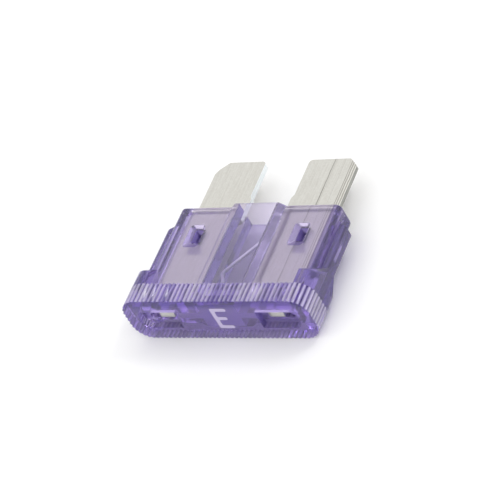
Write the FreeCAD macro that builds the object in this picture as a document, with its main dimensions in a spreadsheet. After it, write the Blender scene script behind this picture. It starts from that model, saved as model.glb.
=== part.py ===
"""Blade fuse of the regular automotive size: a ribbed, see-through moulded housing
and one stamped zinc fuse element (two blades and the melting link between them).

The fuse lies on its broad side. X runs across the two blades, Y from the head face
towards the blade tips and Z up. The bodies are drawn from the middle of the head
face and then placed, so that the part's origin is under the middle of its box.
All sizes are millimetres and live in the spreadsheet Sizes.
"""
import FreeCAD, Part
import math
import os
import Sketcher

doc = FreeCAD.newDocument("BladeFuse")

# How far a joined feature runs into what carries it, how far a cut runs past what it
# cuts, and the least length that counts. They shape nothing themselves.
JOIN = 0.1
PAST = 1.0
TINY = 0.001


# ---------------------------------------------------------------- driving sizes
SIZES = [
    # whole part
    ("overall_length", 18.8, "head face to blade tips"),
    ("flange_width", 19.5, "ribbed head, over the rib crests"),
    ("flange_thickness", 5.0, "ribbed head, over the rib crests"),
    ("flange_height", 2.2, "ribbed head, along Y"),
    ("flange_corner", 1.8, "corner radius of the head"),
    ("rib_pitch", 0.46, "grip ribs, crest to crest"),
    ("rib_valley", 0.32, "width of a valley at the crests"),
    ("rib_depth", 0.16, "depth of a valley"),
    # lower body
    ("plastic_height", 12.3, "head face to the open end of the housing"),
    ("body_width", 17.1, "flat body below the head"),
    ("body_thickness", 2.9, "flat body, front face to back face"),
    ("body_corner", 0.65, "corner radius of the body's section"),
    ("end_round", 0.3, "rounding of the body's open end"),
    ("bulge_width", 4.6, "flat top of the raised middle"),
    ("bulge_foot", 5.85, "raised middle, where its slopes meet the body"),
    ("bulge_thickness", 3.9, "raised middle, front to back"),
    # shoulders under the head and rails on the narrow sides
    ("shoulder_inset", 0.16, "shoulder stands in from the rib crests"),
    ("shoulder_inner", 15.7, "between the inner sides of the two shoulders"),
    ("shoulder_thickness", 4.68, "shoulders, front to back"),
    ("shoulder_reach", 1.7, "shoulder's straight part below the head"),
    ("shoulder_corner", 1.25, "corner radius of the shoulders"),
    ("shoulder_slope", 1.5, "length of the slope from shoulder to rail"),
    ("rail_width", 19.1, "over the two side rails"),
    ("rail_thickness", 1.35, "side rails"),
    ("rail_corner", 0.25, "corner radius of the rails"),
    ("rail_end", 10.85, "head face to the end of the rails"),
    ("rail_slope", 0.7, "how far the rail's end slopes back"),
    # inside of the housing
    ("window_wall", 0.5, "wall over the link"),
    ("cavity_width", 4.0, "room around the link, across"),
    ("head_floor", 1.3, "head face to the closed end of the inside"),
    ("slot_clearance", 0.04, "air around the element in its slot"),
    # test pockets in the head face
    ("pocket_inner", 8.4, "between the two pockets"),
    ("pocket_outer", 16.7, "over the two pockets"),
    ("pocket_width", 2.1, "pockets, front to back"),
    ("pocket_depth", 0.67, "pockets, from the head face"),
    ("pocket_corner", 0.8, "outer corners of the pockets"),
    # stakes that hold the element
    ("stake_spacing", 11.1, "between the two stakes"),
    ("stake_from_head", 9.03, "head face to the middle of the stakes"),
    ("pit_width", 1.65, "staked pit at the surface, across"),
    ("pit_length", 2.65, "staked pit at the surface, along Y"),
    ("pit_lead", 0.33, "how much nearer the head the pit is at the surface"),
    ("pit_corner", 0.35, "corner radius of the pit at the surface"),
    ("pit_bevel_depth", 0.45, "depth of the pit's sloped walls"),
    ("pit_floor_width", 0.8, "straight part of the pit, across"),
    ("pit_floor_length", 1.47, "straight part of the pit, along Y"),
    ("pit_floor_corner", 0.12, "corner radius of the straight part"),
    ("stake_web", 0.24, "plastic left between the front and back pits"),
    ("stake_wall", 0.12, "stake around the straight part of the pit"),
    # fuse element
    ("blade_pitch", 9.9, "middle of one blade to middle of the other"),
    ("blade_width", 5.2, "blade"),
    ("blade_thickness", 0.65, "zinc strip"),
    ("left_tip_cut", 1.25, "cut on the outer corner of the left tip"),
    ("right_tip_cut", 0.85, "cut on the outer corner of the right tip"),
    ("tip_round", 0.4, "rounding of the tip's corners"),
    ("stop_width", 0.22, "stop at the housing's mouth, out from the inner edge"),
    ("stop_start", 11.5, "head face to the stop"),
    ("stop_end", 14.1, "head face to the far end of the stop"),
    ("stop_slope", 0.45, "length of the slopes at the stop's ends"),
    ("inner_step", 0.25, "how far the inner edge steps back inside the housing"),
    ("coin_width", 0.4, "bevel pressed along the outer edge"),
    ("coin_depth", 0.12, "depth of the bevel"),
    ("tip_tab_inner", 5.0, "test tab, from the middle to its inner side"),
    ("tip_tab_width", 1.5, "test tab"),
    ("link_width", 0.26, "melting link, in the plane of the strip"),
    ("link_thickness", 0.22, "melting link, milled thin"),
    ("link_bend", 0.6, "bend radius of the link"),
    ("link_foot", 1.8, "length of the link's feet out of the strips"),
    ("link_turn", 0.94, "strip's inner edge to the link's outer turns"),
    ("link_low", 3.5, "head face to the link's lower foot"),
    ("link_low_rise", 1.75, "lower foot to the turn above it"),
    ("link_high", 11.4, "head face to the link's upper foot"),
    ("link_high_drop", 1.7, "upper foot to the turn below it"),
]

sheet = doc.addObject("Spreadsheet::Sheet", "Sizes")
for row, (name, value, note) in enumerate(SIZES, start=1):
    sheet.set("A%d" % row, name)
    sheet.set("B%d" % row, str(value))
    sheet.set("C%d" % row, note)
    sheet.setAlias("B%d" % row, name)
doc.recompute()


class Size:
    """A length worked out from the sheet: its value now, and the formula that keeps it."""

    def __init__(self, value, formula):
        self.value = float(value)
        self.formula = formula

    @staticmethod
    def of(other):
        if isinstance(other, Size):
            return other
        return Size(other, repr(float(other)))

    def __add__(self, other):
        other = Size.of(other)
        return Size(self.value + other.value, "(%s + %s)" % (self.formula, other.formula))

    def __sub__(self, other):
        other = Size.of(other)
        return Size(self.value - other.value, "(%s - %s)" % (self.formula, other.formula))

    def __mul__(self, other):
        other = Size.of(other)
        return Size(self.value * other.value, "(%s * %s)" % (self.formula, other.formula))

    def __truediv__(self, other):
        other = Size.of(other)
        return Size(self.value / other.value, "(%s / %s)" % (self.formula, other.formula))

    def __neg__(self):
        return Size(0, "0") - self

    def whole(self):
        return Size(math.floor(self.value), "floor(%s)" % self.formula)


def size(name):
    return Size(getattr(sheet, name), "Sizes." + name)


ZERO = Size(0, "0")
half_length = size("overall_length") / 2
flange_half_width = size("flange_width") / 2
flange_half = size("flange_thickness") / 2
body_half = size("body_thickness") / 2
bulge_half = size("bulge_thickness") / 2
cavity_half = bulge_half - size("window_wall")
blade_half = size("blade_thickness") / 2
slot_half = blade_half + size("slot_clearance")
blade_middle = size("blade_pitch") / 2
blade_inner = blade_middle - size("blade_width") / 2
blade_outer = blade_middle + size("blade_width") / 2
slot_outer = blade_outer + size("slot_clearance")
stake_middle = size("stake_spacing") / 2
stake_half_width = size("pit_floor_width") / 2 + size("stake_wall")
stake_half_length = size("pit_floor_length") / 2 + size("stake_wall")


# ---------------------------------------------------------------- drawing helpers
def bind(obj, path, length):
    """Tie a property to the sheet."""
    obj.setExpression(path, length.formula)


def new_body(name):
    """A body drawn from the head face and lifted to lie on its broad side."""
    body = doc.addObject("PartDesign::Body", name)
    body.Label = name
    bind(body, "Placement.Base.y", -half_length)
    bind(body, "Placement.Base.z", flange_half)
    return body


def origin_plane(body, role):
    return [o for o in body.Origin.OriginFeatures if o.Role == role][0]


def new_sketch(body, name, role, offset=None, shift=None):
    """A sketch on one of the body's planes. offset lifts it along the plane's normal."""
    sketch = body.newObject("Sketcher::SketchObject", name)
    sketch.AttachmentSupport = [(origin_plane(body, role), "")]
    sketch.MapMode = "FlatFace"
    if offset is not None:
        bind(sketch, "AttachmentOffset.Base.z", offset)
    if shift is not None:
        bind(sketch, "AttachmentOffset.Base.x", shift[0])
        bind(sketch, "AttachmentOffset.Base.y", shift[1])
    return sketch


def hold(sketch, geometry, end, point):
    """Fix one end of a sketch line at a point given by two sizes."""
    for kind, length in (("DistanceX", point[0]), ("DistanceY", point[1])):
        index = sketch.addConstraint(
            Sketcher.Constraint(kind, -1, 1, geometry, end, length.value))
        if length.formula != "0":
            bind(sketch, "Constraints[%d]" % index, length)


def polygon(sketch, points):
    """A closed outline of straight lines through the points."""
    vectors = [FreeCAD.Vector(x.value, y.value, 0) for x, y in points]
    first = sketch.GeometryCount
    count = len(points)
    for i in range(count):
        sketch.addGeometry(Part.LineSegment(vectors[i], vectors[(i + 1) % count]), False)
    for i in range(count):
        sketch.addConstraint(
            Sketcher.Constraint("Coincident", first + i, 2, first + (i + 1) % count, 1))
        hold(sketch, first + i, 1, points[i])


def box(sketch, left, right, low, high):
    polygon(sketch, [(left, low), (right, low), (right, high), (left, high)])


def rounded_box(sketch, left, right, low, high, radius, corners=(1, 1, 1, 1)):
    """A box whose corners are rounded, in the order low right, high right, high left,
    low left. A corner that is 0 stays sharp."""
    r = radius.value
    x0, x1, y0, y1 = left.value, right.value, low.value, high.value
    sharp = [(x1, y0), (x1, y1), (x0, y1), (x0, y0)]
    centres = [(x1 - r, y0 + r), (x1 - r, y1 - r), (x0 + r, y1 - r), (x0 + r, y0 + r)]
    turns = [(270, 360), (0, 90), (90, 180), (180, 270)]
    ends = []
    arcs = []
    for k in range(4):
        if corners[k]:
            cx, cy = centres[k]
            a, b = [math.radians(t) for t in turns[k]]
            circle = Part.Circle(FreeCAD.Vector(cx, cy, 0), FreeCAD.Vector(0, 0, 1), r)
            arcs.append(sketch.addGeometry(Part.ArcOfCircle(circle, a, b), False))
            ends.append([(cx + r * math.cos(t), cy + r * math.sin(t)) for t in (a, b)])
        else:
            arcs.append(None)
            ends.append([sharp[k], sharp[k]])
    lines = []
    for k in range(4):
        here = FreeCAD.Vector(*ends[k][1], 0)
        there = FreeCAD.Vector(*ends[(k + 1) % 4][0], 0)
        lines.append(sketch.addGeometry(Part.LineSegment(here, there), False))
    for k in range(4):
        after = (k + 1) % 4
        if arcs[k] is not None:
            sketch.addConstraint(Sketcher.Constraint("Tangent", arcs[k], 2, lines[k], 1))
        if arcs[after] is not None:
            sketch.addConstraint(
                Sketcher.Constraint("Tangent", lines[k], 2, arcs[after], 1))
        else:
            sketch.addConstraint(
                Sketcher.Constraint("Coincident", lines[k], 2, lines[after], 1))
        sketch.addConstraint(
            Sketcher.Constraint(("Vertical", "Horizontal")[k % 2], lines[k]))
    for k, kind, length in ((0, "DistanceX", right), (1, "DistanceY", high),
                            (2, "DistanceX", left), (3, "DistanceY", low)):
        index = sketch.addConstraint(
            Sketcher.Constraint(kind, -1, 1, lines[k], 1, length.value))
        bind(sketch, "Constraints[%d]" % index, length)
    real = [a for a in arcs if a is not None]
    for other in real[1:]:
        sketch.addConstraint(Sketcher.Constraint("Equal", real[0], other))
    index = sketch.addConstraint(Sketcher.Constraint("Radius", real[0], r))
    bind(sketch, "Constraints[%d]" % index, radius)


def rounded_path(sketch, points, radius):
    """An open path of straight runs through the points, with an arc at each turn."""
    spots = [FreeCAD.Vector(x.value, y.value, 0) for x, y in points]
    cuts = [[spots[0], spots[0]]]
    for before, spot, after in zip(spots, spots[1:], spots[2:]):
        back = (before - spot).normalize()
        ahead = (after - spot).normalize()
        reach = radius.value / math.tan(back.getAngle(ahead) / 2)
        cuts.append([spot + back * reach, spot + ahead * reach])
    cuts.append([spots[-1], spots[-1]])
    lines = []
    for here, there in zip(cuts, cuts[1:]):
        lines.append(sketch.addGeometry(Part.LineSegment(here[1], there[0]), False))
    for k, spot in enumerate(spots[1:-1], start=1):
        start, end = cuts[k]
        toward = ((start - spot) + (end - spot)).normalize()
        half_turn = (start - spot).getAngle(toward)
        centre = spot + toward * (radius.value / math.sin(half_turn))
        middle = centre - toward * radius.value
        arc = Part.Arc(start, middle, end)
        arc_index = sketch.addGeometry(arc, False)
        arc_start = sketch.getPoint(arc_index, 1)
        first, last = (1, 2) if arc_start.distanceToPoint(start) < TINY else (2, 1)
        sketch.addConstraint(
            Sketcher.Constraint("Tangent", lines[k - 1], 2, arc_index, first))
        sketch.addConstraint(
            Sketcher.Constraint("Tangent", arc_index, last, lines[k], 1))
        index = sketch.addConstraint(
            Sketcher.Constraint("Radius", arc_index, radius.value))
        bind(sketch, "Constraints[%d]" % index, radius)
        corner = sketch.addGeometry(Part.Point(spot), True)
        hold(sketch, corner, 1, points[k])
        for line in (lines[k - 1], lines[k]):
            sketch.addConstraint(
                Sketcher.Constraint("PointOnObject", corner, 1, line))
    hold(sketch, lines[0], 1, points[0])
    hold(sketch, lines[-1], 2, points[-1])


def made(feature):
    """Work a feature out at once, and stop if it has no shape."""
    doc.recompute()
    if feature.Shape.isNull():
        raise ValueError(feature.Name + " has no shape")
    return feature


def pad(body, name, sketch, length, reverse=False, both_ways=False):
    feature = body.newObject("PartDesign::Pad", name)
    feature.Profile = sketch
    bind(feature, "Length", length)
    feature.Reversed = reverse
    feature.Midplane = both_ways
    feature.Refine = True
    return made(feature)


def pocket(body, name, sketch, length, reverse=False, both_ways=False):
    """A cut that must take something away."""
    before = body.Shape.Volume
    feature = body.newObject("PartDesign::Pocket", name)
    feature.Profile = sketch
    bind(feature, "Length", length)
    feature.Reversed = reverse
    feature.Midplane = both_ways
    feature.Refine = True
    made(feature)
    if body.Shape.Volume >= before:
        raise ValueError(name + " cuts nothing")
    return feature


def in_row(body, name, features, direction, length, count):
    """Repeat features along a line."""
    pattern = body.newObject("PartDesign::LinearPattern", name)
    pattern.Originals = features
    pattern.Direction = direction
    bind(pattern, "Length", length)
    bind(pattern, "Occurrences", count)
    body.Tip = pattern
    return made(pattern)


def mirror(body, name, features, role):
    """Repeat features on the other side of one of the body's planes."""
    copy = body.newObject("PartDesign::Mirrored", name)
    copy.Originals = features
    copy.MirrorPlane = (origin_plane(body, role), [""])
    body.Tip = copy
    return made(copy)


def rounding(body, name, radius, wanted):
    """Round the body's edges that the test picks out, each given by its box."""
    picked = [index for index, edge in enumerate(body.Shape.Edges, start=1)
              if wanted(edge.BoundBox)]
    if not picked:
        raise ValueError(name + " finds no edge")
    base = body.Tip
    feature = body.newObject("PartDesign::Fillet", name)
    feature.Base = (base, ["Edge%d" % index for index in picked])
    bind(feature, "Radius", radius)
    return made(feature)


# ---------------------------------------------------------------- housing, outside
housing = new_body("housing")

# The XZ plane faces the head, so a pad along +Y is reversed, a pocket along +Y is
# not, and an offset along +Y is negative.
flange_sketch = new_sketch(housing, "FlangeOutline", "XZ_Plane")
rounded_box(flange_sketch, -flange_half_width, flange_half_width,
            -flange_half, flange_half, size("flange_corner"))
flange = pad(housing, "Flange", flange_sketch, size("flange_height"), reverse=True)

# Flat body with its raised middle, both full height.
body_sketch = new_sketch(housing, "BodySection", "XZ_Plane")
rounded_box(body_sketch, -(size("body_width") / 2), size("body_width") / 2,
            -body_half, body_half, size("body_corner"))
pad(housing, "FlatBody", body_sketch, size("plastic_height"), reverse=True)

bulge_sketch = new_sketch(housing, "MiddleSection", "XZ_Plane")
top = size("bulge_width") / 2
foot = size("bulge_foot") / 2
polygon(bulge_sketch, [
    (-foot, body_half), (-foot, -body_half), (-top, -bulge_half), (top, -bulge_half),
    (foot, -body_half), (foot, body_half), (top, bulge_half), (-top, bulge_half)])
pad(housing, "RaisedMiddle", bulge_sketch, size("plastic_height"), reverse=True)

# The open end is softly rounded all the way round.
open_end = (size("plastic_height") - half_length).value
rounding(housing, "EndRound", size("end_round"), lambda b: b.YMin > open_end - TINY)

# Rails along the narrow sides, with sloped ends.
body_half_width = size("body_width") / 2
rail_outer = size("rail_width") / 2
rail_half = size("rail_thickness") / 2
rail_start = size("flange_height") - JOIN
rail_sketch = new_sketch(housing, "RailSection", "XZ_Plane", offset=-rail_start)
rounded_box(rail_sketch, -rail_outer, rail_outer, -rail_half, rail_half,
            size("rail_corner"))
pad(housing, "Rails", rail_sketch, size("rail_end") - rail_start, reverse=True)

rail_end_sketch = new_sketch(housing, "RailSlope", "XY_Plane")
for side in (1, -1):
    inner = body_half_width * side
    outer = rail_outer * side
    beyond = (rail_outer + PAST) * side
    low = size("rail_end") - size("rail_slope")
    high = size("rail_end") + PAST
    polygon(rail_end_sketch, [(inner, size("rail_end")), (outer, low), (beyond, low),
                              (beyond, high), (inner, high)])
pocket(housing, "RailEnds", rail_end_sketch, size("rail_thickness") + PAST,
       both_ways=True)

# Shoulders under the head, sloped down to the rails.
shoulder_inner = size("shoulder_inner") / 2
shoulder_outer = flange_half_width - size("shoulder_inset")
shoulder_half = size("shoulder_thickness") / 2
shoulder_end = size("flange_height") + size("shoulder_reach")
shoulder_sketch = new_sketch(housing, "ShoulderSection", "XZ_Plane",
                             offset=-rail_start)
rounded_box(shoulder_sketch, shoulder_inner, shoulder_outer,
            -shoulder_half, shoulder_half, size("shoulder_corner"), (1, 1, 0, 0))
shoulder = pad(housing, "Shoulder", shoulder_sketch, shoulder_end - rail_start,
               reverse=True)
slope_base = new_sketch(housing, "ShoulderSlopeBase", "XZ_Plane",
                        offset=-shoulder_end)
rounded_box(slope_base, shoulder_inner, shoulder_outer,
            -shoulder_half, shoulder_half, size("shoulder_corner"), (1, 1, 0, 0))
slope_top = new_sketch(housing, "ShoulderSlopeTop", "XZ_Plane",
                       offset=-(shoulder_end + size("shoulder_slope")))
rounded_box(slope_top, shoulder_inner, rail_outer, -rail_half, rail_half,
            size("rail_corner"), (1, 1, 0, 0))
slope = housing.newObject("PartDesign::AdditiveLoft", "ShoulderSlope")
slope.Profile = slope_base
slope.Sections = [slope_top]
slope.Ruled = True
made(slope)
mirror(housing, "OtherShoulder", [shoulder, slope], "YZ_Plane")

# ---------------------------------------------------------------- housing, inside
# The inside opens at the blade end: a room round the link, and a thin slot that
# takes the strip from edge to edge.
inside_length = size("plastic_height") - size("head_floor") + PAST
inside_sketch = new_sketch(housing, "LinkRoom", "XZ_Plane",
                           offset=-size("head_floor"))
box(inside_sketch, -(size("cavity_width") / 2), size("cavity_width") / 2,
    -cavity_half, cavity_half)
pocket(housing, "Room", inside_sketch, inside_length)

slot_sketch = new_sketch(housing, "StripSlot", "XZ_Plane",
                         offset=-size("head_floor"))
box(slot_sketch, -slot_outer, slot_outer, -slot_half, slot_half)
pocket(housing, "Slot", slot_sketch, inside_length)

# Pockets in the head face, with a slit in each floor where a test tab shows.
pocket_sketch = new_sketch(housing, "TestPocketOutline", "XZ_Plane")
rounded_box(pocket_sketch, size("pocket_inner") / 2, size("pocket_outer") / 2,
            -(size("pocket_width") / 2), size("pocket_width") / 2,
            size("pocket_corner"), (1, 1, 0, 0))
test_pocket = pocket(housing, "TestPocket", pocket_sketch, size("pocket_depth"))
slit_sketch = new_sketch(housing, "TestSlit", "XZ_Plane")
box(slit_sketch, size("tip_tab_inner") - size("slot_clearance"), slot_outer,
    -slot_half, slot_half)
slit = pocket(housing, "Slit", slit_sketch, size("head_floor") + JOIN)
mirror(housing, "OtherTestPocket", [test_pocket, slit], "YZ_Plane")

# Stakes: plastic pressed through a hole in each blade from the front and the back,
# which leaves a bevelled pit on both faces and a thin web between them.
stake_sketch = new_sketch(housing, "StakeOutline", "XY_Plane")
box(stake_sketch, stake_middle - stake_half_width, stake_middle + stake_half_width,
    size("stake_from_head") - stake_half_length,
    size("stake_from_head") + stake_half_length)
stake = pad(housing, "Stake", stake_sketch, (slot_half + JOIN) * 2, both_ways=True)

pit_parts = []
neck = (stake_middle - size("pit_floor_width") / 2,
        stake_middle + size("pit_floor_width") / 2,
        size("stake_from_head") - size("pit_floor_length") / 2,
        size("stake_from_head") + size("pit_floor_length") / 2)
mouth_middle = size("stake_from_head") - size("pit_lead")
mouth = (stake_middle - size("pit_width") / 2, stake_middle + size("pit_width") / 2,
         mouth_middle - size("pit_length") / 2, mouth_middle + size("pit_length") / 2)
for where, side in (("Front", 1), ("Back", -1)):
    pit_mouth = new_sketch(housing, "PitMouth" + where, "XY_Plane",
                           offset=body_half * side)
    rounded_box(pit_mouth, *mouth, size("pit_corner"))
    pit_neck = new_sketch(housing, "PitNeck" + where, "XY_Plane",
                          offset=(body_half - size("pit_bevel_depth")) * side)
    rounded_box(pit_neck, *neck, size("pit_floor_corner"))
    bevel = housing.newObject("PartDesign::SubtractiveLoft", "PitBevel" + where)
    bevel.Profile = pit_mouth
    bevel.Sections = [pit_neck]
    bevel.Ruled = True
    made(bevel)
    floor_sketch = new_sketch(housing, "PitFloor" + where, "XY_Plane",
                              offset=size("stake_web") / 2 * side)
    rounded_box(floor_sketch, *neck, size("pit_floor_corner"))
    shaft = pocket(housing, "PitShaft" + where, floor_sketch, body_half,
                   reverse=side > 0)
    pit_parts += [bevel, shaft]
mirror(housing, "OtherPits", [stake] + pit_parts, "YZ_Plane")

# ---------------------------------------------------------------- grip ribs
def valley(sketch, x, z, out_x, out_z):
    """One V-shaped rib valley that opens outwards at x, z."""
    half = size("rib_valley") / 2
    deep = size("rib_depth")
    over = size("rib_depth")
    tip = (x - deep * out_x, z - deep * out_z)
    reach = half * 2
    left = (x + over * out_x - reach * out_z, z + over * out_z + reach * out_x)
    right = (x + over * out_x + reach * out_z, z + over * out_z - reach * out_x)
    polygon(sketch, [tip, left, right])


# Valleys across the front and back of the head. The ones where the corners begin
# belong to the corners.
run = size("flange_width") - size("flange_corner") * 2
run_count = (run / size("rib_pitch")).whole()
run_step = run / run_count
broad_sketch = new_sketch(housing, "BroadValley", "XZ_Plane")
valley(broad_sketch, -(run / 2) + run_step, flange_half, 0, 1)
valley(broad_sketch, -(run / 2) + run_step, -flange_half, 0, -1)
broad_valley = pocket(housing, "BroadValleys", broad_sketch, size("flange_height"))
in_row(housing, "BroadRibs", [broad_valley], (broad_sketch, ["H_Axis"]),
       run - run_step * 2, run_count - 1)

# Valleys on the narrow ends of the head.
rise = size("flange_thickness") - size("flange_corner") * 2
rise_count = (rise / size("rib_pitch")).whole()
rise_step = rise / rise_count
narrow_sketch = new_sketch(housing, "NarrowValley", "XZ_Plane")
valley(narrow_sketch, flange_half_width, -(rise / 2) + rise_step, 1, 0)
valley(narrow_sketch, -flange_half_width, -(rise / 2) + rise_step, -1, 0)
narrow_valley = pocket(housing, "NarrowValleys", narrow_sketch, size("flange_height"))
in_row(housing, "NarrowRibs", [narrow_valley], (narrow_sketch, ["V_Axis"]),
       rise - rise_step * 2, rise_count - 1)

# Valleys round the four corners of the head.
quarter = size("flange_corner") * (math.pi / 2)
corner_count = (quarter / size("rib_pitch")).whole()
for number, (side, level) in enumerate(((1, 1), (-1, 1), (-1, -1), (1, -1)), start=1):
    centre = ((flange_half_width - size("flange_corner")) * side,
              (flange_half - size("flange_corner")) * level)
    corner_sketch = new_sketch(housing, "CornerValley%d" % number, "XZ_Plane",
                               shift=centre)
    valley(corner_sketch, size("flange_corner") * side, ZERO, side, 0)
    corner_valley = pocket(housing, "CornerValleys%d" % number, corner_sketch,
                           size("flange_height"))
    corner = housing.newObject("PartDesign::PolarPattern", "CornerRibs%d" % number)
    corner.Originals = [corner_valley]
    corner.Axis = (corner_sketch, ["N_Axis"])
    corner.Angle = 90
    corner.Reversed = side * level < 0
    bind(corner, "Occurrences", corner_count + 1)
    housing.Tip = corner
    made(corner)

# ---------------------------------------------------------------- fuse element
element = new_body("fuse_element")
root = size("head_floor") + size("slot_clearance")
tip_y = size("overall_length")
stop_edge = blade_inner - size("stop_width")
inner_edge = blade_inner + size("inner_step")
link_anchor = inner_edge + JOIN
link_near = inner_edge - size("link_foot")
link_far = inner_edge - size("link_turn")

# The melting link, a double bend between the blades.
link_path = new_sketch(element, "LinkPath", "XY_Plane")
rounded_path(link_path, [
    (-link_anchor, size("link_low")),
    (-link_near, size("link_low")),
    (-link_far, size("link_low") + size("link_low_rise")),
    (link_far, size("link_high") - size("link_high_drop")),
    (link_near, size("link_high")),
    (link_anchor, size("link_high"))], size("link_bend"))
link_section = new_sketch(element, "LinkSection", "YZ_Plane", offset=-link_anchor)
box(link_section, size("link_low") - size("link_width") / 2,
    size("link_low") + size("link_width") / 2,
    -(size("link_thickness") / 2), size("link_thickness") / 2)
link = element.newObject("PartDesign::AdditivePipe", "Link")
link.Profile = link_section
link.Spine = (link_path, ["Edge%d" % n for n in range(1, 10)])
made(link)

# One blade. Its inner edge stands back inside the housing and has a stop at the mouth.
blade_sketch = new_sketch(element, "BladeOutline", "XY_Plane")
polygon(blade_sketch, [
    (inner_edge, root), (blade_outer, root), (blade_outer, tip_y), (blade_inner, tip_y),
    (blade_inner, size("stop_end") + size("stop_slope")),
    (stop_edge, size("stop_end")), (stop_edge, size("stop_start")),
    (inner_edge, size("stop_start") - size("stop_slope"))])
blade = pad(element, "Blade", blade_sketch, size("blade_thickness"), both_ways=True)

tab_sketch = new_sketch(element, "TestTabOutline", "XY_Plane")
box(tab_sketch, size("tip_tab_inner"), size("tip_tab_inner") + size("tip_tab_width"),
    size("pocket_depth"), root + JOIN)
tab = pad(element, "TestTab", tab_sketch, size("blade_thickness"), both_ways=True)

hole_sketch = new_sketch(element, "StakeHole", "XY_Plane")
gap = size("slot_clearance")
box(hole_sketch, stake_middle - stake_half_width - gap,
    stake_middle + stake_half_width + gap,
    size("stake_from_head") - stake_half_length - gap,
    size("stake_from_head") + stake_half_length + gap)
hole = pocket(element, "StakeHoles", hole_sketch, size("blade_thickness") + PAST,
              both_ways=True)

coin_sketch = new_sketch(element, "CoinedBevel", "XZ_Plane", offset=-root)
for side in (1, -1):
    low = (blade_half - size("coin_depth")) * side
    beyond = (blade_half + PAST) * side
    polygon(coin_sketch, [
        (blade_outer - size("coin_width"), blade_half * side), (blade_outer, low),
        (blade_outer + PAST, low), (blade_outer + PAST, beyond),
        (blade_outer - size("coin_width"), beyond)])
coin = pocket(element, "CoinedBevels", coin_sketch, tip_y - root + PAST)
mirror(element, "OtherBlade", [blade, tab, hole, coin], "YZ_Plane")

# The outer corner of each tip is cut off, and the tips' corners are rounded.
cut_sketch = new_sketch(element, "TipCuts", "XY_Plane")
for side, cut in ((-1, size("left_tip_cut")), (1, size("right_tip_cut"))):
    polygon(cut_sketch, [
        ((blade_outer - cut - PAST) * side, tip_y + PAST),
        ((blade_outer + PAST) * side, tip_y - cut - PAST),
        ((blade_outer + PAST) * side, tip_y + PAST)])
pocket(element, "TipCorners", cut_sketch, size("blade_thickness") + PAST,
       both_ways=True)
tip_start = (tip_y - half_length).value - max(sheet.left_tip_cut, sheet.right_tip_cut)
rounding(element, "TipRound", size("tip_round"),
         lambda b: b.YMin > tip_start - TINY and b.ZLength > TINY and b.XLength < TINY)

# ---------------------------------------------------------------- checks and files
for item in doc.Objects:
    if "Invalid" in item.State or "Error" in item.State:
        raise ValueError(item.Name + " failed: " + str(item.State))
os.makedirs("parts", exist_ok=True)
for node in (housing, element):
    shape = node.Shape
    if shape.isNull() or not shape.isValid() or len(shape.Solids) != 1:
        raise ValueError(node.Label + " is not one valid solid")
    shape.exportStep("parts/%s.step" % node.Label)
    box_now = shape.BoundBox
    print("%s: %.2f mm3, %d faces, box %.3f..%.3f, %.3f..%.3f, %.3f..%.3f" % (
        node.Label, shape.Volume, len(shape.Faces), box_now.XMin, box_now.XMax,
        box_now.YMin, box_now.YMax, box_now.ZMin, box_now.ZMax))
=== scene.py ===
"""Looks of a regular blade fuse: a see-through violet housing moulded round a stamped
zinc element, with its rating numeral printed on the head. Metres, in the CAD's frame: +X
across the two blades, +Y from the head face to the blade tips, +Z out of the front face.
"""
import math

import bmesh
import bpy
from mathutils import Matrix, Vector


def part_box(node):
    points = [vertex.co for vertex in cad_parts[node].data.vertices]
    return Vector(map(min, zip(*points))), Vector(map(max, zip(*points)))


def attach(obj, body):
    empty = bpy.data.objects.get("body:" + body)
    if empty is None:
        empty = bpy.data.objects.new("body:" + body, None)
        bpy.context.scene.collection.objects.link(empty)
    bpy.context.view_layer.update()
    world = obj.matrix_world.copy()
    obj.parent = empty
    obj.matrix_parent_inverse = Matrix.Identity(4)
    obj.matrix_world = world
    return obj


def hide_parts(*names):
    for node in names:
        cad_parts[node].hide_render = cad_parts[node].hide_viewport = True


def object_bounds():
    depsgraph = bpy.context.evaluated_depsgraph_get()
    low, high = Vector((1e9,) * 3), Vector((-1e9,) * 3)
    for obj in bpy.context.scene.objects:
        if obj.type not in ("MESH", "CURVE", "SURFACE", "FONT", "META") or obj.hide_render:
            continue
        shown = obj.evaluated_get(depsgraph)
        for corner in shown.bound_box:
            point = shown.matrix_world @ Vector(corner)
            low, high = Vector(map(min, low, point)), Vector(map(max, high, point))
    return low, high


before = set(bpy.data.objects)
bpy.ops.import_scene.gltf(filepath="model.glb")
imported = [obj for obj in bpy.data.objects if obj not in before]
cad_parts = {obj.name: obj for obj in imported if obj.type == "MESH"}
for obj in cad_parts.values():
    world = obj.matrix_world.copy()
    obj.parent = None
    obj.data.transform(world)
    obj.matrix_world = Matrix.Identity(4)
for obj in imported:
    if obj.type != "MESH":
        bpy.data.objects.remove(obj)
cad_low, cad_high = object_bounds()

MM = 0.001
HOUSING_LOW, HOUSING_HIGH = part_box("housing")
HEAD_FACE = HOUSING_LOW[1]
MIDDLE_Z = (HOUSING_LOW[2] + HOUSING_HIGH[2]) / 2
ELEMENT_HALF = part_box("fuse_element")[1][0]    # half the width over both blades

# ------------------------------------------------------------------ camera
# A long lens, so that the fuse looks almost undistorted.
LENS_MM = 194.4
SENSOR_MM = 36
CAMERA_DISTANCE = 243.28 * MM
CAMERA_AZIMUTH = math.radians(43.66)
CAMERA_ELEVATION = math.radians(39.31)
CAMERA_ROLL = math.radians(32.12)
CAMERA_AIM = Vector((-0.396, -0.835, 2.077)) * MM
NEAR_CLIP, FAR_CLIP = 0.01, 10


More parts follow.
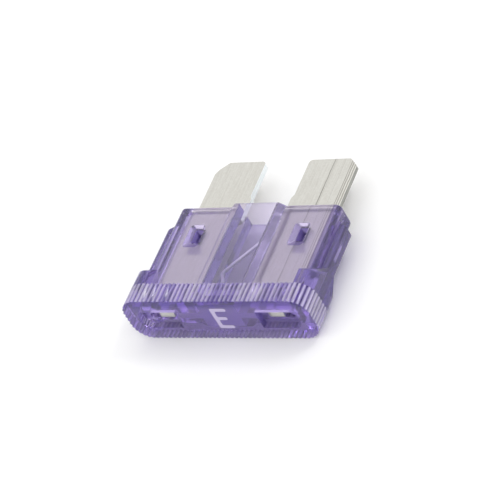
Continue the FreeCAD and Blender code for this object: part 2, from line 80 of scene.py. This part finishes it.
def add_camera():
    toward = Vector((math.sin(CAMERA_AZIMUTH) * math.cos(CAMERA_ELEVATION),
                     -math.cos(CAMERA_AZIMUTH) * math.cos(CAMERA_ELEVATION),
                     math.sin(CAMERA_ELEVATION)))
    data = bpy.data.cameras.new("camera")
    data.lens = LENS_MM
    data.sensor_width = SENSOR_MM
    data.clip_start = NEAR_CLIP
    data.clip_end = FAR_CLIP
    camera = bpy.data.objects.new("camera", data)
    bpy.context.collection.objects.link(camera)
    turn = toward.to_track_quat("Z", "Y").to_matrix().to_4x4()
    turn = turn @ Matrix.Rotation(-CAMERA_ROLL, 4, "Z")
    camera.matrix_world = Matrix.Translation(CAMERA_AIM + toward * CAMERA_DISTANCE) @ turn
    bpy.context.scene.camera = camera


# ------------------------------------------------------------------ materials
# Marks on the housing's mesh, both 0 to 1, which the plastic reads.
# How deep the violet is: partly the mould's finish, partly painted shade and painted light.
DEPTH_AND_SHADE = "colour_depth_and_shade"
MILK = "milkiness"

# The head face's colour, its painted light and shade on the lips included, ends between these
# depths below it.
FACE_FULL, FACE_GONE = 0.04 * MM, 0.07 * MM
# Heights between which the head face's colour turns into that of a lip: painted shade on the
# upper lip, painted light on the lower one.
SHADED_UPPER_LIP = (3.9 * MM, 4.5 * MM)
LIT_LOWER_LIP = (1.1 * MM, 0.5 * MM)

# Noise on the zinc and the ink, in features a metre, along X, Y and Z where three are given.
ROLLING_LINES = (9000, 500, 9000)   # 0.11 mm wide, 2 mm long: coarser than real, to show
ROLLING_GRAIN = 4500                # 0.22 mm: coarser than real, to show
WANDERING = (0, 600, 0)             # a turn of the marks every 1.7 mm
SHEARING_BANDS = (500, 500, 14000)  # 0.07 mm thick, 2 mm long
INK_GRAIN = 6000                    # 0.17 mm: coarser than real, to show

WANDER_REACH = 0.07 * MM            # how far the marks wander to each side
PRESSED_WIDTH = 0.6 * MM            # pressed strip along a blade's outer edge
PRESSED_PITCH = 0.21 * MM           # from one of its dark lines to the next
LINK_REACH = 2.0 * MM               # the melting link lies nearer to the middle than this
# Score marks on the right blade: place across the strip, half width, both in
# millimetres, and strength.
SCORES = ((5.10, 0.060, 1.10), (5.26, 0.025, 0.55), (6.20, 0.020, 0.45))


def hex_color(text):
    """An sRGB colour as the linear values that shaders take."""
    parts = [int(text[i:i + 2], 16) / 255 for i in (1, 3, 5)]
    return [c / 12.92 if c <= 0.04045 else ((c + 0.055) / 1.055) ** 2.4
            for c in parts] + [1.0]


def add_node(tree, kind, links=None, **settings):
    """A node with its settings. A link goes from (node, output) to an input's name."""
    node = tree.nodes.new(kind)
    for name, value in settings.items():
        if hasattr(node, name):
            setattr(node, name, value)
        else:
            node.inputs[name.replace("_", " ")].default_value = value
    for name, (source, output) in (links or {}).items():
        tree.links.new(source.outputs[output], node.inputs[name])
    return node


def new_material(name):
    material = bpy.data.materials.new(name)
    material.use_nodes = True
    material.node_tree.nodes.clear()
    return material, material.node_tree


def moulded_violet_polycarbonate():
    """Clear polycarbonate dyed violet. The thicker it is, the deeper its colour. The flat
    body is polished in the mould, so it is glossy and clear. The ribs, the pits and the
    window's walls come from a rougher mould, so they are milky and deeper in colour. The
    rib bottoms and the pits are painted deeper still as painted shade. The head's lips,
    the pockets and the window are painted paler on one half and deeper on the other as
    painted light and shade."""
    material, tree = new_material("moulded_violet_polycarbonate")
    depth = add_node(tree, "ShaderNodeAttribute", attribute_name=DEPTH_AND_SHADE)
    milk = add_node(tree, "ShaderNodeAttribute", attribute_name=MILK)
    # Pale to deep violet. The deep end also serves as painted shade in the rib bottoms and the
    # pits.
    skin = add_node(tree, "ShaderNodeValToRGB", links={"Fac": (depth, "Fac")})
    ramp = skin.color_ramp.elements
    ramp[0].color = hex_color("#F7F3FF")
    ramp[1].color = hex_color("#5F44AE")
    ramp.new(0.5).color = hex_color("#E3D9FB")

    # The head face: deep violet along its upper lip as painted shade, pale along the lower one
    # as painted light.
    place = add_node(tree, "ShaderNodeTexCoord")
    apart = add_node(tree, "ShaderNodeSeparateXYZ", links={"Vector": (place, "Object")})
    shaded_upper_lip = add_node(tree, "ShaderNodeMapRange", links={"Value": (apart, "Z")},
                         From_Min=SHADED_UPPER_LIP[0], From_Max=SHADED_UPPER_LIP[1])
    lit_lower_lip = add_node(tree, "ShaderNodeMapRange", links={"Value": (apart, "Z")},
                         From_Min=LIT_LOWER_LIP[0], From_Max=LIT_LOWER_LIP[1])
    # Painted shade: the upper lip deep violet.
    deep = add_node(tree, "ShaderNodeMix", data_type="RGBA", links={"Factor": (shaded_upper_lip, 0)})
    deep.inputs[6].default_value = hex_color("#B7A0EE")
    deep.inputs[7].default_value = hex_color("#5A3FA8")
    # Painted light: the lower lip pale.
    pale = add_node(tree, "ShaderNodeMix", data_type="RGBA",
                    links={"Factor": (lit_lower_lip, 0), 6: (deep, 2)})
    pale.inputs[7].default_value = hex_color("#DCD0FF")
    face = add_node(tree, "ShaderNodeMapRange", links={"Value": (apart, "Y")},
                    From_Min=HEAD_FACE + FACE_FULL, From_Max=HEAD_FACE + FACE_GONE,
                    To_Min=1.0, To_Max=0.0)
    tint = add_node(tree, "ShaderNodeMix", data_type="RGBA",
                    links={"Factor": (face, 0), 6: (skin, "Color"), 7: (pale, 2)})

    clear = add_node(tree, "ShaderNodeMapRange", links={"Value": (milk, "Fac")},
                     To_Min=1.0, To_Max=0.0)
    matt = add_node(tree, "ShaderNodeMapRange", links={"Value": (milk, "Fac")},
                    To_Min=0.03, To_Max=0.40)
    shader = add_node(tree, "ShaderNodeBsdfPrincipled", IOR=1.58,
                      links={"Base Color": (tint, 2), "Roughness": (matt, 0),
                             "Transmission Weight": (clear, 0)})
    dye = add_node(tree, "ShaderNodeVolumeAbsorption", Color=hex_color("#9E00ED"),
                   Density=68.0)
    add_node(tree, "ShaderNodeOutputMaterial",
             links={"Surface": (shader, "BSDF"), "Volume": (dye, "Volume")})
    return material


def rolled_zinc_strip():
    """Zinc strip, rolled and stamped: pale warm grey and satin, with fine lines and a few
    score marks along the strip, and dark lines where the right blade's outer edge is
    pressed. The milled link is brighter. The outer sides are dull from the shear and
    darkened as painted shade. The inner ones are bright from burnishing and lightened
    to bluish white as painted highlight."""
    material, tree = new_material("rolled_zinc_strip")
    place = add_node(tree, "ShaderNodeTexCoord")
    apart = add_node(tree, "ShaderNodeSeparateXYZ", links={"Vector": (place, "Object")})
    facing = add_node(tree, "ShaderNodeSeparateXYZ", links={"Vector": (place, "Normal")})
    stretch = add_node(tree, "ShaderNodeMapping", links={"Vector": (place, "Object")},
                       Scale=ROLLING_LINES)
    lines = add_node(tree, "ShaderNodeTexNoise", links={"Vector": (stretch, "Vector")},
                     Scale=1.0, Detail=3.0)
    grain = add_node(tree, "ShaderNodeTexNoise", links={"Vector": (place, "Object")},
                     Scale=ROLLING_GRAIN, Detail=4.0, Roughness=0.7)
    rolled = add_node(tree, "ShaderNodeMath", operation="ADD",
                      links={0: (lines, "Fac"), 1: (grain, "Fac")})
    tone = add_node(tree, "ShaderNodeMapRange", links={"Value": (rolled, 0)},
                    From_Min=0.75, From_Max=1.25)
    plain = add_node(tree, "ShaderNodeMix", data_type="RGBA", links={"Factor": (tone, 0)})
    plain.inputs[6].default_value = hex_color("#D2D0C9")
    plain.inputs[7].default_value = hex_color("#DFDED8")

    # The score marks and the pressed lines wander a little as they run along the strip.
    along = add_node(tree, "ShaderNodeMapping", links={"Vector": (place, "Object")},
                     Scale=WANDERING)
    wander = add_node(tree, "ShaderNodeTexNoise", links={"Vector": (along, "Vector")},
                      Scale=1.0, Detail=4.0, Roughness=0.6)
    drift = add_node(tree, "ShaderNodeMapRange", links={"Value": (wander, "Fac")},
                     To_Min=-WANDER_REACH, To_Max=WANDER_REACH)
    across_strip = add_node(tree, "ShaderNodeMath", operation="ADD",
                            links={0: (apart, "X"), 1: (drift, 0)})

    shade = (plain, 2)
    for across, half, strength in SCORES:
        near = add_node(tree, "ShaderNodeMath", operation="COMPARE",
                        links={0: (across_strip, 0)})
        near.inputs[1].default_value = across * MM
        near.inputs[2].default_value = half * MM
        broken = add_node(tree, "ShaderNodeMath", operation="MULTIPLY",
                          links={0: (near, 0), 1: (lines, "Fac")})
        share = add_node(tree, "ShaderNodeMath", operation="MULTIPLY", links={0: (broken, 0)})
        share.inputs[1].default_value = strength
        scored = add_node(tree, "ShaderNodeMix", data_type="RGBA",
                          links={"Factor": (share, 0), 6: shade})
        scored.inputs[7].default_value = hex_color("#77726A")
        shade = (scored, 2)

    # The pressed strip along the right blade's outer edge, drawn with dark lines.
    at_right = add_node(tree, "ShaderNodeMath", operation="GREATER_THAN",
                        links={0: (apart, "X")})
    at_right.inputs[1].default_value = ELEMENT_HALF - PRESSED_WIDTH
    turns = add_node(tree, "ShaderNodeMath", operation="MULTIPLY",
                     links={0: (across_strip, 0)})
    turns.inputs[1].default_value = 2 * math.pi / PRESSED_PITCH
    wave = add_node(tree, "ShaderNodeMath", operation="SINE", links={0: (turns, 0)})
    dark = add_node(tree, "ShaderNodeMapRange", links={"Value": (wave, 0)},
                    From_Min=-0.2, From_Max=0.9, To_Min=0.0, To_Max=0.7)
    pressed = add_node(tree, "ShaderNodeMath", operation="MULTIPLY",
                       links={0: (at_right, 0), 1: (dark, 0)})
    striped = add_node(tree, "ShaderNodeMix", data_type="RGBA",
                       links={"Factor": (pressed, 0), 6: shade})
    striped.inputs[7].default_value = hex_color("#827D74")

    # The melting link between the blades is freshly milled.
    out = add_node(tree, "ShaderNodeMath", operation="ABSOLUTE", links={0: (apart, "X")})
    milled = add_node(tree, "ShaderNodeMath", operation="LESS_THAN", links={0: (out, 0)})
    milled.inputs[1].default_value = LINK_REACH
    bright = add_node(tree, "ShaderNodeMix", data_type="RGBA",
                      links={"Factor": (milled, 0), 6: (striped, 2)})
    bright.inputs[7].default_value = hex_color("#FFFFFF")

    # The sides of the strip: dull shear bands outside, darkened as painted shade, and bright
    # burnishing inside, lightened as painted highlight.
    at_edge = add_node(tree, "ShaderNodeMath", operation="GREATER_THAN", links={0: (out, 0)})
    at_edge.inputs[1].default_value = ELEMENT_HALF - PRESSED_WIDTH
    sideways = add_node(tree, "ShaderNodeMath", operation="ABSOLUTE",
                        links={0: (facing, "X")})
    side = add_node(tree, "ShaderNodeMapRange", links={"Value": (sideways, 0)},
                    From_Min=0.75, From_Max=0.85)
    thick = add_node(tree, "ShaderNodeMapping", links={"Vector": (place, "Object")},
                     Scale=SHEARING_BANDS)
    bands = add_node(tree, "ShaderNodeTexNoise", links={"Vector": (thick, "Vector")},
                     Scale=1.0, Detail=2.0)
    # Painted shade: the outer sides dark, with shear bands.
    sheared_and_shaded = add_node(tree, "ShaderNodeMix", data_type="RGBA",
                       links={"Factor": (bands, "Fac")})
    sheared_and_shaded.inputs[6].default_value = hex_color("#63645F")
    sheared_and_shaded.inputs[7].default_value = hex_color("#C4C4BE")
    # Painted highlight: the inner sides bluish white, with burnish bands.
    burnished_with_highlight = add_node(tree, "ShaderNodeMix", data_type="RGBA",
                         links={"Factor": (bands, "Fac")})
    burnished_with_highlight.inputs[6].default_value = hex_color("#D3DEE2")
    burnished_with_highlight.inputs[7].default_value = hex_color("#FFFFFF")
    sides = add_node(tree, "ShaderNodeMix", data_type="RGBA",
                     links={"Factor": (at_edge, 0), 6: (burnished_with_highlight, 2), 7: (sheared_and_shaded, 2)})
    colour = add_node(tree, "ShaderNodeMix", data_type="RGBA",
                      links={"Factor": (side, 0), 6: (bright, 2), 7: (sides, 2)})

    bump = add_node(tree, "ShaderNodeBump", links={"Height": (rolled, 0)},
                    Strength=0.15, Distance=0.02 * MM)
    shader = add_node(tree, "ShaderNodeBsdfPrincipled", Metallic=1.0, Roughness=0.42,
                      links={"Base Color": (colour, 2), "Normal": (bump, "Normal")})
    add_node(tree, "ShaderNodeOutputMaterial", links={"Surface": (shader, "BSDF")})
    return material


def pale_pad_printing_ink():
    """Pad printing ink: opaque, matt, pale grey with a breath of lilac."""
    material, tree = new_material("pale_pad_printing_ink")
    place = add_node(tree, "ShaderNodeTexCoord")
    film = add_node(tree, "ShaderNodeTexNoise", links={"Vector": (place, "Object")},
                    Scale=INK_GRAIN, Detail=2.0)
    tone = add_node(tree, "ShaderNodeMix", data_type="RGBA", links={"Factor": (film, "Fac")})
    tone.inputs[6].default_value = hex_color("#B5AACD")
    tone.inputs[7].default_value = hex_color("#C8BEDC")
    shader = add_node(tree, "ShaderNodeBsdfPrincipled", Roughness=0.5, IOR=1.5,
                      links={"Base Color": (tone, 2)})
    add_node(tree, "ShaderNodeOutputMaterial", links={"Surface": (shader, "BSDF")})
    return material


add_camera()
VIOLET = moulded_violet_polycarbonate()
ZINC = rolled_zinc_strip()
INK = pale_pad_printing_ink()

# ------------------------------------------------------------------ pieces
MERGE_DISTANCE = 0.001 * MM
FLAT_ANGLE = math.radians(0.5)     # faces that turn less than this become one
CREASE_ANGLE = math.radians(20)    # edges that turn more than this are rounded
EDGE_SEGMENTS = 2
HOUSING_EDGE = 0.06 * MM
ELEMENT_EDGE = 0.04 * MM


def merged_copy(node_name, piece_name):
    """A copy of a CAD node whose loose triangles are joined into whole flat faces."""
    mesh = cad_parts[node_name].data.copy()
    mesh.name = piece_name
    work = bmesh.new()
    work.from_mesh(mesh)
    bmesh.ops.remove_doubles(work, verts=work.verts, dist=MERGE_DISTANCE)
    bmesh.ops.dissolve_limit(work, angle_limit=FLAT_ANGLE, verts=work.verts,
                             edges=work.edges)
    work.to_mesh(mesh)
    work.free()
    piece = bpy.data.objects.new(piece_name, mesh)
    bpy.context.collection.objects.link(piece)
    return piece


def soften_edges(piece, width):
    """Round every crease, as a mould's and a die's edges are."""
    bevel = piece.modifiers.new("edges", "BEVEL")
    bevel.width = width
    bevel.segments = EDGE_SEGMENTS
    bevel.limit_method = "ANGLE"
    bevel.angle_limit = CREASE_ANGLE
    bevel.use_clamp_overlap = True
    bevel.harden_normals = True


def finish_mesh(piece, material):
    """Turn the piece with its modifiers into one plain mesh of one material."""
    graph = bpy.context.evaluated_depsgraph_get()
    baked = bpy.data.meshes.new_from_object(piece.evaluated_get(graph))
    piece.modifiers.clear()
    piece.data = baked
    piece.data.materials.clear()
    piece.data.materials.append(material)


# ---- the rating numeral
NUMERAL_DEPTH = 0.06 * MM          # recess in the head face that holds the print
NUMERAL_CORNER = 0.13 * MM         # rounding of its corners
CUTTER_OUTSIDE = 0.05 * MM         # how far the recess's cutter stands out of the face
AIR_UNDER_INK = 0.005 * MM         # between the print and the recess's floor
AIR_ROUND_INK = 0.004 * MM         # between the print and the recess's walls


def numeral_outline():
    """The rating, a 3 in squared strokes, read from the blades' side of the fuse, on the
    head face, in millimetres from its middle: across, and towards the front."""
    spine_outside, spine_inside = -0.32, 0.10
    half = 0.20                    # half a stroke's width
    top, middle, bottom = 1.36, 0.22, -0.90
    top_end, middle_end, bottom_end = 1.34, 1.00, 1.24
    return [(spine_outside, bottom - half), (bottom_end, bottom - half),
            (bottom_end, bottom + half), (spine_inside, bottom + half),
            (spine_inside, middle - half), (middle_end, middle - half),
            (middle_end, middle + half), (spine_inside, middle + half),
            (spine_inside, top - half), (top_end, top - half),
            (top_end, top + half), (spine_outside, top + half)]


def numeral_block(name, shallow, deep, inset=0.0):
    """The numeral as a plate in the head face, between two depths below it."""
    work = bmesh.new()
    work.faces.new([work.verts.new((x * MM, 0, z * MM)) for x, z in numeral_outline()])
    bmesh.ops.bevel(work, geom=list(work.verts), offset=NUMERAL_CORNER, segments=4,
                    profile=0.5, affect="VERTICES")
    face = work.faces[:][0]
    if inset:
        rim = bmesh.ops.inset_region(work, faces=[face], thickness=inset, depth=0)
        bmesh.ops.delete(work, geom=rim["faces"], context="FACES")
        face = work.faces[:][0]
    wall = bmesh.ops.extrude_face_region(work, geom=[face], use_keep_orig=True)
    for vertex in (v for v in wall["geom"] if isinstance(v, bmesh.types.BMVert)):
        vertex.co.y = deep - shallow
    bmesh.ops.recalc_face_normals(work, faces=work.faces)
    bmesh.ops.translate(work, verts=work.verts, vec=(0, HEAD_FACE + shallow, MIDDLE_Z))
    # Extruding leaves the faces in any order, so they are sorted to be the same each run.
    work.verts.index_update()
    corners = [vertex.co[:] for vertex in work.verts]
    faces = sorted([vertex.index for vertex in face.verts] for face in work.faces)
    mesh = bpy.data.meshes.new(name)
    mesh.from_pydata(corners, [], faces)
    work.free()
    block = bpy.data.objects.new(name, mesh)
    bpy.context.collection.objects.link(block)
    return block


# ---- the housing's finish and its painted light and shade, place by place
# How deep the colour is and how milky the skin, for each finish of the mould. Some of these
# depths are painted shade or painted light, as noted at each.
FINISH_AND_PAINTED_LIGHT = {
    "polished body": (0.0, 0.04),
    # Painted shade: the pits' straight shafts deep and dark.
    "straight part of a pit": (0.85, 0.60),
    # Painted shade: the pits' slopes on the head's side deeper than the others.
    "slope of a pit on the head's side": (0.85, 0.12),
    "other slopes of a pit": (0.25, 0.12),
    # Painted shade and light: the pockets' front halves deep, their back halves pale.
    "front half of a pocket": (0.80, 0.30),
    "back half of a pocket": (0.30, 0.12),
    "shoulders and rails": (0.85, 0.12),
    "slopes of the raised middle": (0.55, 0.24),
    "head face and lips": (0.65, 0.12),
    "side walls of the window": (0.95, 0.45),
    # Painted light: the window's back half milkier and a little deeper than the front, which
    # lifts and tints its inside.
    "front half of the window": (0.45, 0.05),
    "back half of the window": (0.55, 0.45),
}
RIB_CREST = (0.48, 0.38)
# The rib bottoms are painted deeper than the crests: painted shade in the grooves.
SHADED_RIB_BOTTOM = (1.00, 0.20)

# Places on the housing in millimetres: out from the middle of the width, along from the
# head face, and off the middle of the thickness. A limit stands a little to one side of
# the edge that it is for, so that no face lies right on it.
HEAD_CORNER = 1.8                  # corner radius of the head
RIB_DEPTH = 0.16
RIBS_ALONG = (0.08, 2.15)
RIBS_OFF, RIBS_OUT = 1.3, 8.6      # the ribs lie further off, or further out
FACE_ALONG = 0.05                  # the head face lies nearer than this
HEAD_END = 2.15
LIPS_OFF = 1.9
PIT_OUT, PIT_ALONG = 5.55, 9.03    # middle of a pit
SHAFT_HALF_WIDTH, SHAFT_HALF_LENGTH = 0.42, 0.76
SHAFT_FLOOR_OFF = (0.1, 0.2)
SLOPE_HALF_WIDTH, SLOPE_HALF_LENGTH = 0.84, 1.7
SLOPE_OFF = (0.99, 1.44)
POCKET_OUT = (4.1, 8.4)
POCKET_ALONG, POCKET_OFF = 0.68, 1.1
SHOULDERS_OUT = 7.8
RAISED_OUT, RAISED_OFF = (2.25, 2.97), 1.4
WINDOW_ALONG, WINDOW_OFF = 1.25, 1.5
WINDOW_OUT, WINDOW_WALL_OUT = 2.05, 2.25

# Waves of deeper and paler ribs across the head, painted light and shade standing in for the
# steps inside seen through them: share of the colour, radians a millimetre, and radians at the
# middle.
PAINTED_RIB_WAVES = ((0.20, 1.1, 0.6), (0.14, 3.7, 0.0))


def place_on_housing(point):
    """A point in millimetres: out, along and off, as the places above."""
    return (abs(point.x) / MM, (point.y - HEAD_FACE) / MM, abs(point.z - MIDDLE_Z) / MM)


def rib_depth(point):
    """How far a point of the head's side lies inside the rounded outline of the head."""
    out, _, off = place_on_housing(point)
    half_width = HOUSING_HIGH[0] / MM
    half_thickness = (HOUSING_HIGH[2] - HOUSING_LOW[2]) / 2 / MM
    past_x = max(0.0, out - (half_width - HEAD_CORNER))
    past_z = max(0.0, off - (half_thickness - HEAD_CORNER))
    if past_x and past_z:
        return max(0.0, HEAD_CORNER - math.hypot(past_x, past_z))
    return max(0.0, min(half_width - out, half_thickness - off))


def rib_finish(point):
    """From pale crests to bottoms deepened as painted shade, in slow waves of painted light
    and shade across the head.
    """
    sunk = min(1.0, rib_depth(point) / RIB_DEPTH)
    depth, milk = (crest + (bottom - crest) * sunk
                   for crest, bottom in zip(RIB_CREST, SHADED_RIB_BOTTOM))
    # Painted light and shade: the ribs paler and deeper in slow waves.
    painted_sway = sum(share * math.sin(rate * point.x / MM + start)
               for share, rate, start in PAINTED_RIB_WAVES)
    return min(1.0, depth + painted_sway), milk


def finish_at(face, out, along, off):
    """The name of the mould's finish at a face, by where it lies and how it faces. Some
    finishes carry painted light and shade.
    """
    # Front and back halves get different painted light and shade in the pockets and the
    # window.
    half = "front" if face.center.z > MIDDLE_Z else "back"
    from_pit_out, from_pit_along = abs(out - PIT_OUT), abs(along - PIT_ALONG)
    if from_pit_out < SHAFT_HALF_WIDTH and from_pit_along < SHAFT_HALF_LENGTH:
        upright = abs(face.normal.z) < 0.5
        if off > SHAFT_FLOOR_OFF[0] and (upright or off < SHAFT_FLOOR_OFF[1]):
            return "straight part of a pit"
    if (from_pit_out < SLOPE_HALF_WIDTH and from_pit_along < SLOPE_HALF_LENGTH
            and SLOPE_OFF[0] < off < SLOPE_OFF[1]):
        # The slope on the head's side gets painted shade.
        if face.normal.y > 0.3:
            return "slope of a pit on the head's side"
        return "other slopes of a pit"
    if (FACE_ALONG < along < POCKET_ALONG and off < POCKET_OFF
            and POCKET_OUT[0] < out < POCKET_OUT[1]):
        return half + " half of a pocket"
    if along > HEAD_END and out > SHOULDERS_OUT:
        return "shoulders and rails"
    if along > HEAD_END and RAISED_OUT[0] < out < RAISED_OUT[1] and off > RAISED_OFF:
        return "slopes of the raised middle"
    if along < FACE_ALONG or along < HEAD_END and off > LIPS_OFF:
        return "head face and lips"
    if off < WINDOW_OFF and along > WINDOW_ALONG:
        if out < WINDOW_WALL_OUT and abs(face.normal.x) > 0.5:
            return "side walls of the window"
        if out < WINDOW_OUT:
            return half + " half of the window"
    return "polished body"


def mark_mould(piece):
    """Write how deep the colour, painted shade and light included, and how milky the skin is
    at each corner of a face.
    """
    mesh = piece.data
    for name in (DEPTH_AND_SHADE, MILK):
        mesh.attributes.new(name, "FLOAT", "CORNER")
    depths, milks = mesh.attributes[DEPTH_AND_SHADE].data, mesh.attributes[MILK].data
    for face in mesh.polygons:
        out, along, off = place_on_housing(face.center)
        on_ribs = (RIBS_ALONG[0] < along < RIBS_ALONG[1]
                   and (off > RIBS_OFF or out > RIBS_OUT))
        plain = FINISH_AND_PAINTED_LIGHT[finish_at(face, out, along, off)]
        for corner in face.loop_indices:
            point = mesh.vertices[mesh.loops[corner].vertex_index].co
            depths[corner].value, milks[corner].value = rib_finish(point) if on_ribs else plain


recess = numeral_block("numeral_recess", -CUTTER_OUTSIDE, NUMERAL_DEPTH)
housing = merged_copy("housing", "housing_moulding")
cut = housing.modifiers.new("numeral", "BOOLEAN")
cut.object = recess
cut.operation = "DIFFERENCE"
cut.solver = "EXACT"
soften_edges(housing, HOUSING_EDGE)
finish_mesh(housing, VIOLET)
mark_mould(housing)
bpy.data.objects.remove(recess)
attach(housing, "root")
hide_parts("housing")

numeral = numeral_block("rating_numeral", 0.0, NUMERAL_DEPTH - AIR_UNDER_INK,
                        inset=AIR_ROUND_INK)
numeral.data.materials.append(INK)
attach(numeral, "root")

element = merged_copy("fuse_element", "zinc_element")
soften_edges(element, ELEMENT_EDGE)
finish_mesh(element, ZINC)
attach(element, "root")
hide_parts("fuse_element")

# ------------------------------------------------------------------ studio
FLOOR_SIZE = 3.0
FLOOR_GAP = 0.01 * MM
# The room's light by height on the sky's sphere, from 0 at the horizon to 1 overhead: the
# walls are dimmest below one height, and above the other the light is the ceiling's.
WALL_LOW, WALL_HIGH = 0.0, 0.8
WALL_DIM, CEILING = 0.85, 1.10
SOFTBOX_SIZE = (50 * MM, 30 * MM)
SOFTBOX_PLACE = (0.10, 0.08, 0.16)
SOFTBOX_WATTS = 0.05


def rays(tree, *kinds):
    """1 for the kinds of ray named, such as "Is Camera Ray"."""
    path = add_node(tree, "ShaderNodeLightPath")
    total = (path, kinds[0])
    for kind in kinds[1:]:
        both = add_node(tree, "ShaderNodeMath", operation="MAXIMUM",
                        links={0: total, 1: (path, kind)})
        total = (both, 0)
    return total


def add_floor():
    """Matt white paper, which takes the fuse's soft shadow."""
    bpy.ops.mesh.primitive_plane_add(size=FLOOR_SIZE, location=(0, 0, cad_low[2] - FLOOR_GAP))
    floor = bpy.context.object
    floor.name = "studio_floor"
    material, tree = new_material("matt_white_paper")
    paint = add_node(tree, "ShaderNodeBsdfDiffuse", Color=hex_color("#FFFFFF"))
    add_node(tree, "ShaderNodeOutputMaterial", links={"Surface": (paint, 0)})
    floor.data.materials.append(material)


def add_world():
    """A white room: bright ceiling, dimmer walls. The camera, metal and clear plastic see
    it plain white."""
    world = bpy.data.worlds.new("studio")
    bpy.context.scene.world = world
    world.use_nodes = True
    tree = world.node_tree
    tree.nodes.clear()
    place = add_node(tree, "ShaderNodeTexCoord")
    apart = add_node(tree, "ShaderNodeSeparateXYZ", links={"Vector": (place, "Generated")})
    level = add_node(tree, "ShaderNodeMapRange", links={"Value": (apart, "Z")},
                     From_Min=WALL_LOW, From_Max=WALL_HIGH, To_Min=WALL_DIM, To_Max=CEILING)
    room = add_node(tree, "ShaderNodeBackground", Color=hex_color("#FFFFFF"),
                    links={"Strength": (level, 0)})
    white = add_node(tree, "ShaderNodeBackground", Color=hex_color("#FFFFFF"), Strength=1.0)
    seen = rays(tree, "Is Camera Ray", "Is Glossy Ray", "Is Transmission Ray")
    shown = add_node(tree, "ShaderNodeMixShader",
                     links={0: seen, 1: (room, 0), 2: (white, 0)})
    add_node(tree, "ShaderNodeOutputWorld", links={"Surface": (shown, 0)})


def add_softbox():
    """A small softbox high on the right: it puts glints on the moulding's edges."""
    data = bpy.data.lights.new("softbox", "AREA")
    data.shape = "RECTANGLE"
    data.size, data.size_y = SOFTBOX_SIZE
    data.energy = SOFTBOX_WATTS
    lamp = bpy.data.objects.new("softbox", data)
    bpy.context.collection.objects.link(lamp)
    lamp.location = SOFTBOX_PLACE
    lamp.rotation_euler = (-lamp.location).to_track_quat("-Z", "Y").to_euler()


add_floor()
add_world()
add_softbox()

# ------------------------------------------------------------------ finish
INNER_TURNS = 32      # light turns many times inside the moulding before it comes out
METAL_TURNS = 8

bpy.context.scene.view_settings.view_transform = "Standard"
bpy.context.scene.cycles.max_bounces = INNER_TURNS
bpy.context.scene.cycles.transmission_bounces = INNER_TURNS
bpy.context.scene.cycles.glossy_bounces = METAL_TURNS
